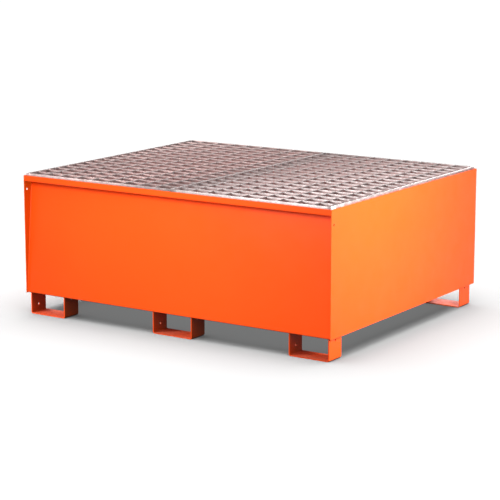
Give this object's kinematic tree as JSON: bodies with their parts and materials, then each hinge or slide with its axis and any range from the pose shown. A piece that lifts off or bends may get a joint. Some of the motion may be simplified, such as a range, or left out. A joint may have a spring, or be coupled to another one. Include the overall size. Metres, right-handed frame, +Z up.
{
  "type": "spill containment pallet",
  "caption": "Orange coated steel sump on U-shaped strip feet with fork clearance, topped by lift-off galvanised gratings, that holds containers and catches what they leak.",
  "frame": {"origin": "on the ground, below the middle of the pallet", "axes": "+X along the long side to the right, -Y towards the front, +Z up"},
  "size_m": [1.65, 1.33, 0.6633],
  "materials": {
    "orange_coating": "smooth satin powder coat on sheet steel",
    "galvanised_steel": "hot-dip galvanised, bright grey with a faint spangle"
  },
  "bodies": {
    "sump": {"floor_plate": "orange_coating", "front_wall": "orange_coating", "rear_wall": "orange_coating", "front_rim": "orange_coating", "rear_rim": "orange_coating", "side_panel_left": "orange_coating", "side_panel_right": "orange_coating", "side_ledge_left": "orange_coating", "side_ledge_right": "orange_coating", "seam_beam": "orange_coating", "beam_bracket_front": "orange_coating", "beam_bracket_rear": "orange_coating", "foot_front_left": "orange_coating", "foot_front_middle": "orange_coating", "foot_front_right": "orange_coating", "foot_rear_left": "orange_coating", "foot_rear_middle": "orange_coating", "foot_rear_right": "orange_coating"},
    "grating_left": {"grid_left": "galvanised_steel", "border_left_front": "galvanised_steel", "border_left_rear": "galvanised_steel", "border_left_seam": "galvanised_steel", "border_left_side": "galvanised_steel"},
    "grating_right": {"grid_right": "galvanised_steel", "border_right_front": "galvanised_steel", "border_right_rear": "galvanised_steel", "border_right_seam": "galvanised_steel", "border_right_side": "galvanised_steel"}
  },
  "joints": [
    {"name": "grating_left_lift", "type": "slide", "parent": "sump", "child": "grating_left", "axis": [0, 0, 1], "range_m": [0, 0.3]},
    {"name": "grating_right_lift", "type": "slide", "parent": "sump", "child": "grating_right", "axis": [0, 0, 1], "range_m": [0, 0.3]}
  ]
}
